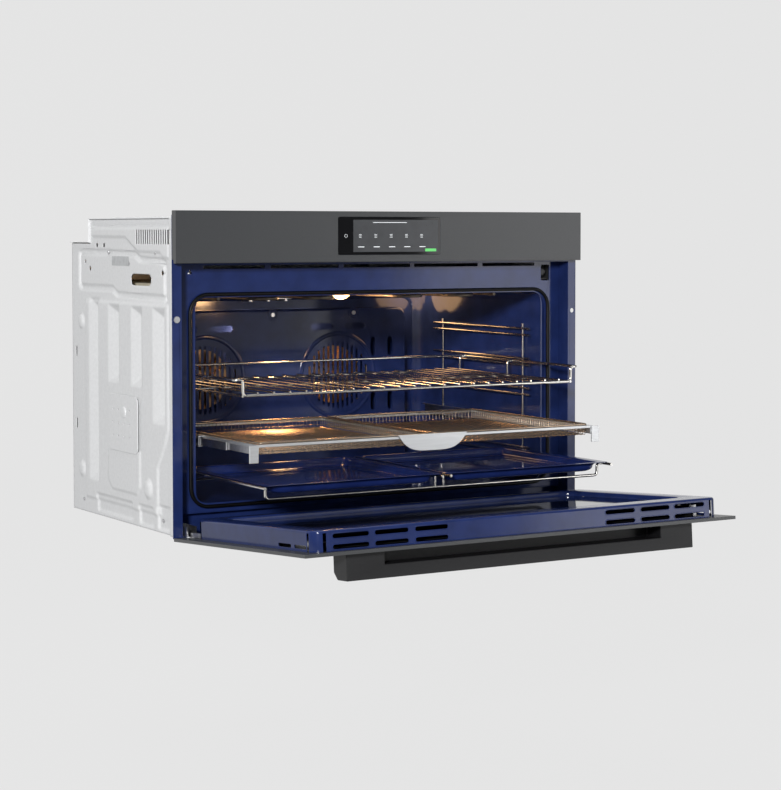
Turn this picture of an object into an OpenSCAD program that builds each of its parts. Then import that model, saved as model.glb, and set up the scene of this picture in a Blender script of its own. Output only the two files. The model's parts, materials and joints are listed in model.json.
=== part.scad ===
// Wide built-in wall oven with its drop-down door open and its racks drawn out.
// Millimetres: X to the right as seen from the front, +Y into the niche, Z up.
// The origin is on the housing's front face, midway across, level with the housing's base.

/* [Housing] */
// width of the box that goes into the niche
housing_width = 850; // [560:1:860]
// depth of the box behind its front face
housing_depth = 526.5; // [500:0.5:560]
// height of the raised service compartment
housing_height = 585; // [570:1:590]
// height of the rear shoulder
shoulder_height = 538.7; // [520:0.1:560]
// where the raised compartment ends towards the rear
raised_depth = 430; // [300:1:480]
// thickness of the housing sheet
sheet = 1; // [0.8:0.1:2]

/* [Front frame] */
// width of the front flange and of the door
front_width = 894.6; // [590:0.1:900]
// top edge of the flange behind the fascia
flange_top = 591; // [580:1:596]
// width of the recess that takes the door
recess_width = 856; // [560:1:860]
// bottom and top of the recessed face
recess_z = [42, 500];
// how far back the recessed face stands
recess_depth = 30; // [20:1:35]
// bottom and top of the fascia
fascia_z = [503, 599];
// width of the display glass
display_width = 225; // [120:1:300]

/* [Cavity] */
// inner width of the oven cavity
cavity_width = 772; // [500:1:780]
// floor and roof of the cavity
cavity_z = [55, 443];
// inner face of the cavity's back wall
cavity_back = 498; // [480:1:505]
// sideways distance of each convection fan from the middle
fan_x = 157.5; // [100:0.5:200]
// height of the convection fans
fan_z = 253; // [200:1:300]

/* [Door] */
// angle at which the open door rests on its stop
door_open = 85.95; // [0:0.05:90]
// height of the hinge axis
hinge_z = 4.5; // [2:0.5:10]
// thickness of the outer panel
panel_thick = 6; // [4:0.5:10]
// width of the enamelled inner liner
liner_width = 846; // [500:1:850]
// width of the handle bar
handle_width = 722; // [300:1:800]

/* [Racks] */
// levels of the side ladders
ladder_levels = [112, 173, 234, 295, 356];
// half the gap between the two wires of a level
level_half = 6.5; // [5:0.5:10]
// how far the wire shelf is drawn out
shelf_out = 150; // [0:1:200]
// how far the basket carriage is drawn out
basket_out = 215; // [0:1:260]
// how far the tray carrier is drawn out
tray_out = 330; // [0:1:340]

/* [Hidden] */
$fn = 48;

eps = 0.1;
sides = [-1, 1];
half_front = front_width / 2;
half_housing = housing_width / 2;
half_recess = recess_width / 2;
half_cavity = cavity_width / 2;
half_liner = liner_width / 2;
half_display = display_width / 2;

// the frame's sheet, and the widened strip of housing that clears the recess
frame_sheet = 2;
wall = 1;
strip_depth = 50;
strip_gap = 0.2;
pocket_back = 44;
mouth_radius = 30;
mouth_x = 392;
mouth_z = [59, 439];

hinge_y = -13;
door_top = 500.5;
door_bottom = -4;
liner_z = [38, 484.7];
liner_face = 22.5;
// the glass is set back so that the drawn-out trays clear it while the door swings
glass_gap = 10;
pin_radius = 2;
boss_radius = 3.25;

rail_radius = 2.8;
post_radius = 2.6;
ladder_radius = 2.2;
rail_x = 374.3;
post_x = 359;
basket_z = ladder_levels[1];
tray_z = ladder_levels[0];

// --- shared shapes ---

module block(x, y, z) {
    translate([x[0], y[0], z[0]])
        cube([x[1] - x[0], y[1] - y[0], z[1] - z[0]]);
}

// a plate standing across the oven, drawn in x and z
module across(y) {
    translate([0, y[1], 0])
        rotate([90, 0, 0])
            linear_extrude(y[1] - y[0])
                children();
}

// a plate standing along the depth, drawn in y and z
module along(x) {
    translate([x[0], 0, 0])
        rotate([90, 0, 90])
            linear_extrude(x[1] - x[0])
                children();
}

// a plate lying flat, drawn in x and y
module lying(z) {
    translate([0, 0, z[0]])
        linear_extrude(z[1] - z[0])
            children();
}

module rect(a, b) {
    translate([a[0], b[0]])
        square([a[1] - a[0], b[1] - b[0]]);
}

module rounded(a, b, r) {
    rect([a[0] + r, a[1] - r], b);
    rect(a, [b[0] + r, b[1] - r]);
    for (p = [a[0] + r, a[1] - r], q = [b[0] + r, b[1] - r])
        translate([p, q])
            circle(r);
}

// a slot with round ends between two values of the first coordinate
module slot(a, centre, r) {
    rect([a[0] + r, a[1] - r], [centre - r, centre + r]);
    for (p = [a[0] + r, a[1] - r])
        translate([p, centre])
            circle(r);
}

module rod_x(x, y, z, r) {
    translate([x[0], y, z])
        rotate([0, 90, 0])
            cylinder(h = x[1] - x[0], r = r);
}

module rod_y(x, y, z, r) {
    translate([x, y[0], z])
        rotate([-90, 0, 0])
            cylinder(h = y[1] - y[0], r = r);
}

module rod_z(x, y, z, r) {
    translate([x, y, z[0]])
        cylinder(h = z[1] - z[0], r = r);
}

module both_sides() {
    children();
    mirror([1, 0, 0])
        children();
}

// turns a piece drawn on the closed door to where the open door holds it
module on_door() {
    translate([0, hinge_y, hinge_z])
        rotate([door_open, 0, 0])
            translate([0, -hinge_y, -hinge_z])
                children();
}

// --- front ---

// air outlets under the fascia: start and end of each slot
vents = [[-369, -243], [-230, -85], [-73, 74], [84, 231], [243, 367.5]];
vent_z = [492, 498];
latch_x = [384, 404];
latch_z = [462, 493.5];

// the flange, the walls of the recess and the pocket for the hinges under it
module front_frame() {
    deep = recess_depth + frame_sheet;
    face_bottom = recess_z[0] + wall;
    color([0.05, 0.07, 0.25])
        difference() {
            union() {
                block([-half_front, half_front], [-frame_sheet, 0], [2, flange_top]);
                block([-half_recess - wall, half_recess + wall], [-1, deep],
                    [recess_z[0] - 2, recess_z[1] + wall]);
                block([-half_recess - wall, half_recess + wall],
                    [-1, pocket_back + frame_sheet], [2, face_bottom]);
            }
            block([-half_recess, half_recess], [-frame_sheet - eps, recess_depth], recess_z);
            block([-half_recess, half_recess], [recess_depth - eps, deep + eps],
                [face_bottom, recess_z[1]]);
            block([-half_recess, half_recess], [-frame_sheet - eps, pocket_back],
                [4, recess_z[0] + eps - 1]);
            block([-half_recess, half_recess], [-frame_sheet - eps, recess_depth],
                [recess_z[0] - 2, recess_z[0] + 1]);
            across([-frame_sheet - 1, 1]) {
                rect([-100, 100], [522, 582]);
                for (s = sides)
                    translate([s * 438.8, 401])
                        circle(4.5);
            }
        }
}

// the face at the back of the recess, with the mouth of the oven and the air outlets
module frame_face() {
    color([0.05, 0.07, 0.25])
        across([recess_depth, recess_depth + frame_sheet])
            difference() {
                rect([-half_recess, half_recess], [recess_z[0] + wall, recess_z[1]]);
                rounded([-mouth_x, mouth_x], mouth_z, mouth_radius);
                for (v = vents)
                    rect(v, vent_z);
                rounded(latch_x, latch_z, 3);
                polygon([[-401.5, 483], [-391.5, 483], [-396.5, 491]]);
            }
}

module fascia_panel() {
    skin = 1.2;
    color([0.2, 0.2, 0.21])
        difference() {
            block([-half_front - 0.2, half_front + 0.2], [-19, -2.2], fascia_z);
            block([-half_front + skin, half_front - skin], [-19 + skin, -2],
                [fascia_z[0] + skin, fascia_z[1] - skin]);
            across([-20, -16])
                rounded([-half_display - 0.3, half_display + 0.3], [516.7, 588.3], 2);
            // the returns at both ends are notched at the bottom, clear of the flange
            for (s = sides)
                translate([s * half_front, 0, 0])
                    block([-3, 3], [-9, -2], [fascia_z[0] - 1, fascia_z[0] + 7]);
        }
}

module display_glass() {
    color([0.02, 0.02, 0.02])
        across([-19.4, -16.4])
            rounded([-half_display, half_display], [517, 588], 1.8);
}

module display_module() {
    color([0.3, 0.3, 0.32]) {
        block([-98, 98], [-16.2, -6], [520, 585]);
        block([-60, 60], [-6, 2], [530, 575]);
    }
}

module control_board() {
    color([0.05, 0.3, 0.15])
        union() {
            block([-92, 92], [6, 7.6], [524, 580]);
            for (x = [-70, -30, 20, 60])
                block([x - 8, x + 8], [7.5, 14], [535, 560]);
            for (x = [-86, 86], z = [528, 576])
                rod_y(x, [0.1, 6.1], z, 2.5);
        }
}

// --- housing ---

// one side of the housing, joggled outwards beside the recess
module side_sheet() {
    inner = half_housing - sheet;
    outer_strip = half_recess + wall + strip_gap;
    outline = [
        [inner, housing_depth], [half_housing, housing_depth],
        [half_housing, strip_depth], [outer_strip + sheet, strip_depth],
        [outer_strip + sheet, 0], [outer_strip, 0],
        [outer_strip, strip_depth - sheet], [inner, strip_depth - sheet]
    ];
    louvres = 19;
    louvre_pitch = 10;
    difference() {
        intersection() {
            lying([0, housing_height])
                polygon(outline);
            along([inner - 5, outer_strip + 5])
                polygon([[-1, 0], [housing_depth + 1, 0], [housing_depth + 1, shoulder_height],
                    [raised_depth, shoulder_height], [raised_depth, housing_height],
                    [-1, housing_height]]);
        }
        along([inner - 1, outer_strip + 2]) {
            for (i = [0 : louvres - 1])
                rect([14 + i * louvre_pitch, 19 + i * louvre_pitch], [537, 564]);
            slot([140, 232], 469.5, 11);
            for (z = [174, 320])
                rect([507, 511], [z - 10, z + 10]);
        }
    }
}

module side_panel_left() {
    color([0.82, 0.82, 0.83])
        mirror([1, 0, 0])
            side_sheet();
}

module side_panel_right() {
    color([0.82, 0.82, 0.83])
        side_sheet();
}

module side_access_plates() {
    color([0.8, 0.8, 0.81])
        for (s = sides)
            translate([s * (half_housing + 0.6), 0, 0])
                along([-0.5, 0.5])
                    difference() {
                        rounded([188, 328], [138, 247], 12);
                        for (i = [0 : 3], j = [0 : 2])
                            translate([227 + i * 26, 167 + j * 25.5])
                                circle(2);
                    }
}

module rear_panel() {
    edge = half_housing - sheet - 0.1;
    color([0.78, 0.78, 0.79])
        across([housing_depth - sheet, housing_depth])
            difference() {
                rect([-edge, edge], [sheet + 0.1, shoulder_height]);
                for (i = [0 : 11], s = sides)
                    slot_upright(s * (60 + i * 12), [470, 510], 3);
                for (x = [-380, 380])
                    slot_upright(x, [80, 140], 4);
                translate([300, 505])
                    circle(9);
            }
}

module slot_upright(centre, b, r) {
    rect([centre - r, centre + r], [b[0] + r, b[1] - r]);
    for (q = [b[0] + r, b[1] - r])
        translate([centre, q])
            circle(r);
}

module base_panel() {
    edge = half_housing - sheet - 0.1;
    color([0.78, 0.78, 0.79])
        difference() {
            block([-edge, edge], [0, housing_depth], [0, sheet]);
            lying([-1, 2])
                for (i = [0 : 9], s = sides)
                    slot([s * 200 - 60, s * 200 + 60], 120 + i * 18, 3);
        }
}

// the lid steps down to the shoulder at the rear and has a pressed field on top
module top_cover() {
    edge = half_recess + wall + strip_gap + sheet;
    rise = 3;
    color([0.8, 0.8, 0.81]) {
        difference() {
            union() {
                along([-edge, edge])
                    polygon([
                        [0, housing_height], [0, housing_height + sheet],
                        [raised_depth + sheet, housing_height + sheet],
                        [raised_depth + sheet, shoulder_height + sheet],
                        [housing_depth, shoulder_height + sheet],
                        [housing_depth, shoulder_height],
                        [raised_depth, shoulder_height], [raised_depth, housing_height]
                    ]);
                block([-390, 390], [30, 400], [housing_height, housing_height + sheet + rise]);
            }
            block([-389, 389], [31, 399], [housing_height - 1, housing_height + rise]);
        }
    }
}

// --- cavity and heat ---

module cavity_shell() {
    outer = half_cavity + wall;
    color([0.05, 0.07, 0.25])
        difference() {
            union() {
                block([-outer, outer], [33, cavity_back + wall],
                    [cavity_z[0] - wall, cavity_z[1] + wall]);
                block([-outer - 12, outer + 12], [32, 33], [cavity_z[0] - 6, cavity_z[1] + 6]);
            }
            block([-half_cavity, half_cavity], [33, cavity_back], cavity_z);
            across([31, 34])
                rounded([-half_cavity, half_cavity], mouth_z, mouth_radius - 4);
            for (s = sides)
                translate([s * fan_x, cavity_back - 1, fan_z]) {
                    rotate([-90, 0, 0])
                        cylinder(h = 3, r = 6);
                    for (t = sides)
                        translate([t * 12, 0, 79])
                            rotate([-90, 0, 0])
                                cylinder(h = 3, r = 4);
                }
            rod_z(0, 175, [cavity_z[1] - 1, cavity_z[1] + 2], 22);
        }
}

module door_gasket() {
    color([0.02, 0.02, 0.02])
        across([22.9, recess_depth])
            difference() {
                rounded([-402.5, 402.5], [49, 449], 40);
                rounded([-390.5, 390.5], [61, 437], 28);
            }
}

// vertical grille slots that fill a circle round each fan
module fan_grille() {
    grille_radius = 72;
    pitch = 11.5;
    for (i = [-6 : 6]) {
        reach = sqrt(pow(grille_radius, 2) - pow(i * pitch, 2));
        slot_upright(i * pitch, [-reach, reach], 2.75);
    }
}

module fan_cover_panel() {
    front = 469;
    skin = 1;
    x = [-328, 328];
    z = [58, 396];
    color([0.06, 0.08, 0.28])
        difference() {
            across([front, 497.5])
                rounded(x, z, 20);
            across([front + skin, 498])
                rounded([x[0] + skin, x[1] - skin], [z[0] + skin, z[1] - skin], 19);
            across([front - 1, front + 2])
                for (s = sides) {
                    translate([s * fan_x, fan_z])
                        fan_grille();
                    for (a = [[93, 146], [174, 225]])
                        slot([s * (a[0] + a[1]) / 2 - (a[1] - a[0]) / 2,
                            s * (a[0] + a[1]) / 2 + (a[1] - a[0]) / 2], 357.8, 6.8);
                    for (c = [244.5, 287], b = [[174, 214], [292, 332]])
                        slot_upright(s * c, b, 6);
                    for (p = [[0, 385], [196, 386]])
                        translate([s * p[0], p[1]])
                            circle(2.2);
                }
        }
}

module insulation_blanket() {
    color([0.85, 0.83, 0.75])
        difference() {
            block([-405, 405], [50, 512], [33, 462]);
            block([-388.5, 388.5], [49, 500.5], [45.5, 445.5]);
            for (s = sides)
                rod_y(s * fan_x, [500, 513], fan_z, 42);
            for (s = sides)
                block([s * fan_x - 20, s * fan_x + 20], [500, 513], [fan_z + 60, fan_z + 90]);
            rod_z(0, 175, [445, 463], 26);
            block([260, 330], [500, 513], [430, 447]);
        }
}

module service_deck() {
    edge = half_housing - sheet - 0.1;
    color([0.75, 0.75, 0.76])
        difference() {
            block([-edge, edge], [34, 428], [501.2, 502.2]);
            block([-152, 198], [320, 400], [500, 503]);
        }
}

module cooling_duct() {
    color([0.72, 0.72, 0.74])
        difference() {
            block([-372, 372], [32.3, 321.7], [484, 501]);
            block([-371, 371], [32, 320.7], [485, 500]);
            block([-146, 146], [320, 322], [487, 498]);
        }
}

blower = [360, 528];

module blower_housing() {
    color([0.7, 0.7, 0.72])
        difference() {
            block([-150, 150], [322, 398], [486, 562]);
            rod_x([-148, 148], blower[0], blower[1], 34);
            block([-148, 148], [320, 340], [488, 500]);
            block([-148, 148], [330, 352], [488, 520]);
            block([-148, 148], [350, 390], [545, 563]);
            rod_x([-151, -147], blower[0], blower[1], 3.4);
            rod_x([147, 151], blower[0], blower[1], 3.4);
        }
}

module blower_impeller() {
    blades = 18;
    color([0.65, 0.65, 0.67])
        union() {
            for (x = [-140, 0, 137])
                rod_x([x, x + 3], blower[0], blower[1], 30);
            rod_x([-156, 165], blower[0], blower[1], 3);
            for (i = [0 : blades - 1])
                translate([0, blower[0], blower[1]])
                    rotate([i * 360 / blades, 0, 0])
                        block([-139, 139], [24, 29], [-0.6, 0.6]);
        }
}

module blower_motor() {
    color([0.45, 0.45, 0.47])
        difference() {
            union() {
                rod_x([153, 195], blower[0], blower[1], 28);
                block([155, 190], [322, 398], [512, 544]);
            }
            rod_x([152, 170], blower[0], blower[1], 3.05);
        }
}

module convection_fan() {
    blades = 14;
    union() {
        rod_y(0, [490, 492], fan_z, 62);
        rod_y(0, [474, 491], fan_z, 12);
        rod_y(0, [480, 514], fan_z, 3);
        for (i = [0 : blades - 1])
            translate([0, 0, fan_z])
                rotate([0, i * 360 / blades, 0])
                    block([20, 60], [476, 491], [-0.6, 0.6]);
    }
}

module convection_fan_left() {
    color([0.6, 0.6, 0.62])
        translate([-fan_x, 0, 0])
            convection_fan();
}

module convection_fan_right() {
    color([0.6, 0.6, 0.62])
        translate([fan_x, 0, 0])
            convection_fan();
}

module convection_motors() {
    color([0.4, 0.4, 0.42])
        for (s = sides)
            difference() {
                rod_y(s * fan_x, [502, 524], fan_z, 36);
                rod_y(s * fan_x, [501, 518], fan_z, 3.05);
            }
}

element_radius = 3.25;

module ring_elements() {
    color([0.35, 0.33, 0.3])
        for (s = sides)
            union() {
                translate([s * fan_x, 483, fan_z])
                    rotate([90, 0, 0])
                        rotate_extrude()
                            translate([80, 0])
                                circle(element_radius);
                for (t = sides)
                    rod_y(s * fan_x + t * 12, [483, 515], fan_z + 79, 3.1);
            }
}

// hairpins lying flat: straight legs along the depth joined by half rings at alternate ends
module hairpins(xs, y, z) {
    pitch = xs[1] - xs[0];
    for (x = xs)
        rod_y(x, y, z, element_radius);
    for (i = [0 : len(xs) - 2])
        translate([(xs[i] + xs[i + 1]) / 2, i % 2 == 0 ? y[0] : y[1], z])
            rotate([0, 0, i % 2 == 0 ? 180 : 0])
                rotate_extrude(angle = 180)
                    translate([pitch / 2, 0])
                        circle(element_radius);
}

module grill_element() {
    color([0.35, 0.33, 0.3])
        both_sides()
            hairpins([70, 130, 190, 250, 310], [90, 420], 434);
}

module bottom_element() {
    color([0.35, 0.33, 0.3])
        both_sides()
            hairpins([60, 140, 220, 300], [100, 420], 49.8);
}

module lamp_lens() {
    color([1, 0.85, 0.55])
        intersection() {
            translate([0, 175, 450])
                sphere(r = 24);
            block([-30, 30], [140, 210], [424, 442.7]);
        }
}

module lamp_holder() {
    color([0.8, 0.8, 0.78])
        union() {
            rod_z(0, 175, [444.2, 450], 25);
            rod_z(0, 175, [449, 478], 14);
        }
}

module thermostat_bulb() {
    color([0.7, 0.7, 0.7])
        union() {
            rod_x([-69, 42], 465, 420, 4);
            for (x = [-55, -13, 28])
                block([x - 3, x + 3], [461, cavity_back], [414, 419]);
        }
}

// --- ladders and slides ---

module rack_ladders() {
    color([0.8, 0.8, 0.8])
        both_sides() {
            for (y = [91, 400])
                union() {
                    rod_z(381.2, y, [96, 372], 2.4);
                    for (z = [100, 368])
                        rod_x([381.2, half_cavity], y, z, 2);
                }
            for (level = ladder_levels, s = sides)
                rod_y(376.5, [60, 430], level + s * level_half, ladder_radius);
        }
}

module slide_channels() {
    color([0.6, 0.6, 0.62])
        both_sides()
            difference() {
                block([366, 374.2], [44, 462], [basket_z - 10, basket_z + 10]);
                block([365, 372.8], [43, 463], [basket_z - 8.6, basket_z + 8.6]);
            }
}

module slide_middle_members() {
    y0 = 41.5 - basket_out / 2;
    color([0.65, 0.65, 0.67])
        both_sides()
            block([369.2, 372], [y0, y0 + 400], [basket_z - 7, basket_z + 7]);
}

module slide_inner_members() {
    y0 = 43 - basket_out;
    color([0.7, 0.7, 0.72])
        both_sides()
            block([365.8, 368.4], [y0, y0 + 420], [basket_z - 6, basket_z + 6]);
}

// --- hinges, lock and electrics ---

module hinge_receivers() {
    color([0.5, 0.5, 0.52])
        both_sides()
            difference() {
                union() {
                    for (x = [405.5, 422.5]) {
                        rod_x([x, x + 3], hinge_y, hinge_z, boss_radius);
                        block([x, x + 3], [-12.5, pocket_back], [5.2, 24]);
                    }
                    block([405.5, 425.5], [41, pocket_back], [5.2, 24]);
                }
                rod_x([404, 427], hinge_y, hinge_z, pin_radius + 0.05);
            }
}

module hinge_pins() {
    color([0.6, 0.6, 0.62])
        both_sides()
            rod_x([404.5, 426.5], hinge_y, hinge_z, pin_radius);
}

module power_board() {
    color([0.1, 0.35, 0.2])
        union() {
            block([-360, -180], [120, 260], [512, 513.6]);
            for (x = [-350, -190], y = [130, 250])
                rod_z(x, y, [502.3, 512.1], 3);
            for (i = [0 : 4])
                block([-345 + i * 24, -327 + i * 24], [215, 240], [513.5, 530]);
            block([-240, -195], [140, 180], [513.5, 545]);
            for (x = [-330, -300, -270])
                rod_z(x, 160, [513.5, 538], 8);
        }
}

module terminal_block() {
    color([0.15, 0.15, 0.15])
        difference() {
            block([250, 340], [440, 480], [502.5, 528]);
            for (i = [0 : 4])
                block([256 + i * 17, 268 + i * 17], [439, 455], [512, 529]);
        }
}

module cable_gland() {
    color([0.1, 0.1, 0.1])
        difference() {
            union() {
                rod_y(300, [518, 538], 505, 8.8);
                rod_y(300, [housing_depth + 0.1, 532], 505, 13);
                rod_y(300, [519, housing_depth - sheet - 0.1], 505, 13);
            }
            rod_y(300, [517, 539], 505, 5);
        }
}

module door_lock_housing() {
    color([0.3, 0.3, 0.32])
        difference() {
            block([380, 408], [36, 70], [464, 496]);
            block([384, 404.5], [35, 49], [466, 494]);
        }
}

module door_lock_hook() {
    color([0.75, 0.75, 0.77])
        union() {
            block([385, 393], [34, 48], [473, 485]);
            block([385, 396], [34, 37], [476, 482]);
        }
}

// --- screws ---

// a pan-head screw whose head bears on the plane y = 0
module pan_screw(head, shank, length) {
    rod_y(0, [-2.4, 0], 0, head);
    rod_y(0, [-0.5, length], 0, shank);
}

module housing_screws() {
    head = 1.6;
    // y, z and the height of the surface under the head
    spots = [[250, 221, 1.12], [120, 521, 0.02], [340, 521, 0.02], [90, 24, 0.02], [470, 24, 0.02]];
    color([0.7, 0.7, 0.7])
        for (s = sides, p = spots)
            translate([s * (half_housing + p[2]), p[0], p[1]])
                rotate([0, s * 90, 0])
                    cylinder(h = head, r = 3.6);
}

module flange_screw() {
    color([0.85, 0.85, 0.85])
        translate([-438.8, -2.1, 401])
            union()
                pan_screw(6, 3.6, 14);
}

module fan_cover_screws() {
    color([0.7, 0.7, 0.7])
        for (x = [-196, 0, 196])
            translate([x, 468.9, x == 0 ? 385 : 386])
                union()
                    pan_screw(4.2, 2, 28);
}

// --- door ---

module door_outer_panel() {
    color([0.15, 0.15, 0.16])
        on_door()
            difference() {
                block([-half_front, half_front], [hinge_y - panel_thick, hinge_y],
                    [door_bottom, door_top]);
                for (s = sides)
                    translate([s * 415.5, 0, 0])
                        rod_x([-12.5, 12.5], hinge_y, hinge_z, boss_radius + 0.35);
            }
}

glass_x = 385;
glass_z = [66, 430];

module door_liner() {
    y_face = liner_face - wall;
    y_seat = liner_face - glass_gap;
    color([0.05, 0.07, 0.25])
        on_door()
            difference() {
                across([hinge_y, liner_face])
                    rounded([-half_liner, half_liner], liner_z, 24);
                // the hollow behind the face, left solid round the window's return
                difference() {
                    across([hinge_y - 1, y_face])
                        rounded([-half_liner + wall, half_liner - wall],
                            [liner_z[0] + wall, liner_z[1] - wall], 23);
                    across([y_seat + 0.1, liner_face])
                        rounded([-glass_x - wall, glass_x + wall],
                            [glass_z[0] - wall, glass_z[1] + wall], 29);
                    across([y_seat + 0.1, y_seat + 0.1 + wall])
                        rounded([-glass_x - 8, glass_x + 8],
                            [glass_z[0] - 8, glass_z[1] + 8], 34);
                }
                across([y_seat, liner_face + 1])
                    rounded([-glass_x, glass_x], glass_z, 28);
                liner_slots();
                for (s = sides)
                    translate([s * 415.5, 0, 0])
                        block([-5, 5], [hinge_y - 1, -3.5], [liner_z[0] - 1, liner_z[0] + 19]);
            }
}

// cooling slots in the liner's end and side walls
module liner_slots() {
    reach = 4.5;
    for (y = [-6, 12], a = [[164, 230], [242, 308], [318, 388]], s = sides)
        translate([s * (a[0] + a[1]) / 2, y, liner_z[1] - 2])
            linear_extrude(4)
                slot([(a[0] - a[1]) / 2, (a[1] - a[0]) / 2], 0, reach);
    for (s = sides, b = [[360, 406], [417, 462]])
        along([s * half_liner - 2, s * half_liner + 2])
            slot_upright(-5.5, b, 3);
}

module door_inner_glass() {
    color([0.1, 0.1, 0.12, 0.4])
        on_door()
            across([8.5, 12.5])
                rounded([-393, 393], [58, 438], 10);
}

module door_middle_glass() {
    color([0.1, 0.1, 0.12, 0.4])
        on_door()
            across([-1, 3])
                rect([-395, 395], [58, 450]);
}

// posts down both sides with ledges that hold the two panes apart
module glass_retainers() {
    color([0.2, 0.2, 0.2])
        on_door()
            both_sides()
                union() {
                    block([396.2, 404], [hinge_y, 8.3], [70, 440]);
                    block([388, 397], [-4, -1.2], [70, 440]);
                    block([388, 397], [3.2, 8.3], [70, 440]);
                }
}

module door_handle() {
    grip_y = [-65, hinge_y - panel_thick - 0.1];
    grip_z = [436, 481.3];
    half = handle_width / 2;
    chamfer = 12;
    color([0.12, 0.12, 0.13])
        on_door()
            difference() {
                along([-half, half])
                    polygon([
                        [grip_y[1], grip_z[0]], [grip_y[0] + chamfer, grip_z[0]],
                        [grip_y[0], grip_z[0] + chamfer], [grip_y[0], grip_z[1]],
                        [grip_y[1], grip_z[1]]
                    ]);
                // finger pocket, reached from above on the closed door
                block([-288, 288], [-42, grip_y[1] + 1], [grip_z[0] + 6, grip_z[1] + 1]);
            }
}

module hinge_arms() {
    color([0.55, 0.55, 0.57])
        on_door()
            both_sides()
                difference() {
                    union() {
                        rod_x([412, 419], hinge_y, hinge_z, boss_radius);
                        block([412, 419], [-12.6, -4], [5.2, 120]);
                    }
                    rod_x([411, 420], hinge_y, hinge_z, pin_radius + 0.06);
                }
}

// --- wire shelf ---

shelf_z = 266;
shelf_rail_z = ladder_levels[3];
shelf_front = 41 - shelf_out;
shelf_back = 450 - shelf_out;

module wire_shelf_frame() {
    mid = shelf_front + 224;
    color([0.82, 0.82, 0.82])
        union() {
            for (y = [shelf_front, shelf_back - 3])
                rod_x([-post_x - 2, post_x + 2], y, shelf_z, rail_radius);
            both_sides() {
                rod_y(rail_x, [shelf_front - 3, shelf_back], shelf_rail_z, rail_radius);
                rod_y(post_x, [shelf_front, shelf_back - 3], shelf_z, 2.4);
                for (y = [shelf_front, mid, shelf_back - 3]) {
                    rod_z(post_x, y, [shelf_z, shelf_rail_z], post_radius);
                    rod_x([post_x - 2, rail_x], y, shelf_rail_z, 2.5);
                }
            }
            rod_x([-rail_x, rail_x], shelf_back - 3, shelf_rail_z + 2, 2.7);
        }
}

module wire_shelf_rods() {
    pitch = 33;
    radius = 1.6;
    above = shelf_z + rail_radius + radius + 0.05;
    color([0.82, 0.82, 0.82]) {
        for (i = [-10 : 10])
            rod_y(i * pitch, [shelf_front - 2, shelf_back - 1], above, radius);
        rod_x([-post_x + 3, post_x - 3], shelf_front + 195, shelf_z + 1.1, 1.6);
    }
}

// --- basket carriage ---

carriage_front = 41 - basket_out;
carriage_back = 463 - basket_out;

module basket_carriage_frame() {
    color([0.75, 0.75, 0.75])
        union() {
            both_sides() {
                block([360, 365.5], [carriage_front, carriage_back], [168, 184]);
                block([362, 380], [carriage_front - 2, carriage_front], [152, 183]);
            }
            block([-362, 362], [carriage_front, carriage_front + 4], [179, 184]);
            block([-362, 362], [carriage_back - 4, carriage_back], [179, 184]);
            block([-2.5, 2.5], [carriage_front, carriage_back], [179, 184]);
        }
}

module basket_handle_plate() {
    color([0.8, 0.8, 0.8])
        across([carriage_front - 2.2, carriage_front - 0.1])
            difference() {
                rounded([-75, 75], [156, 187], 8);
                for (s = sides)
                    translate([s * 95, 140])
                        circle(34);
            }
}

// one basket: a rim over a thin-walled body; the woven wire is part of the look only
module basket() {
    y = [carriage_front + 6, carriage_back - 6];
    skin = 1.2;
    union() {
        difference() {
            lying([165, 186])
                rounded([6, 358], y, 8);
            lying([165 + skin, 189])
                rounded([6 + skin, 358 - skin], [y[0] + skin, y[1] - skin], 7);
        }
        difference() {
            lying([184.3, 188])
                rounded([3, 364], [y[0] - 5, y[1] + 5], 10);
            lying([183, 189])
                rounded([6 + skin, 358 - skin], [y[0] + skin, y[1] - skin], 7);
        }
    }
}

module basket_left() {
    color([0.7, 0.68, 0.64])
        mirror([1, 0, 0])
            basket();
}

module basket_right() {
    color([0.7, 0.68, 0.64])
        basket();
}

// --- trays ---

carrier_front = 105 - tray_out;
carrier_back = 465 - tray_out;
tray_y = [carrier_front + 6, carrier_back];

module tray_carrier() {
    low = 89.7;
    front = carrier_front + 28;
    color([0.82, 0.82, 0.82])
        union() {
            rod_x([-post_x - 2, post_x + 2], front, low, rail_radius);
            both_sides() {
                rod_y(rail_x, [carrier_front, carrier_back], tray_z, rail_radius);
                rod_z(post_x + 0.6, front, [low, tray_z], post_radius);
                rod_x([post_x - 1, rail_x], front, tray_z, 2.5);
                rod_y(9, [carrier_front, carrier_back], tray_z, 2.7);
                rod_z(9, front, [low, tray_z], 2.5);
            }
            rod_x([-post_x - 2, post_x + 2], carrier_back - 4, low, rail_radius);
            both_sides() {
                rod_z(9, carrier_back - 4, [low, tray_z], 2.5);
                rod_z(post_x + 0.6, carrier_back - 4, [low, tray_z], post_radius);
                rod_x([post_x - 1, rail_x], carrier_back - 4, tray_z, 2.5);
            }
        }
}

module tray() {
    skin = 1.2;
    floor_z = 98;
    inner_y = [tray_y[0] + 6, tray_y[1] - 8];
    union() {
        difference() {
            lying([floor_z, 116])
                rounded([14, 353], inner_y, 12);
            lying([floor_z + skin, 118])
                rounded([14 + skin, 353 - skin], [inner_y[0] + skin, inner_y[1] - skin], 11);
        }
        difference() {
            lying([115.1, 116.5])
                rounded([5, 372.5], tray_y, 6);
            lying([114, 118])
                rounded([14 + skin, 353 - skin], [inner_y[0] + skin, inner_y[1] - skin], 11);
        }
    }
}

module tray_left() {
    color([0.05, 0.08, 0.3])
        mirror([1, 0, 0])
            tray();
}

module tray_right() {
    color([0.05, 0.08, 0.3])
        tray();
}

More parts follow.
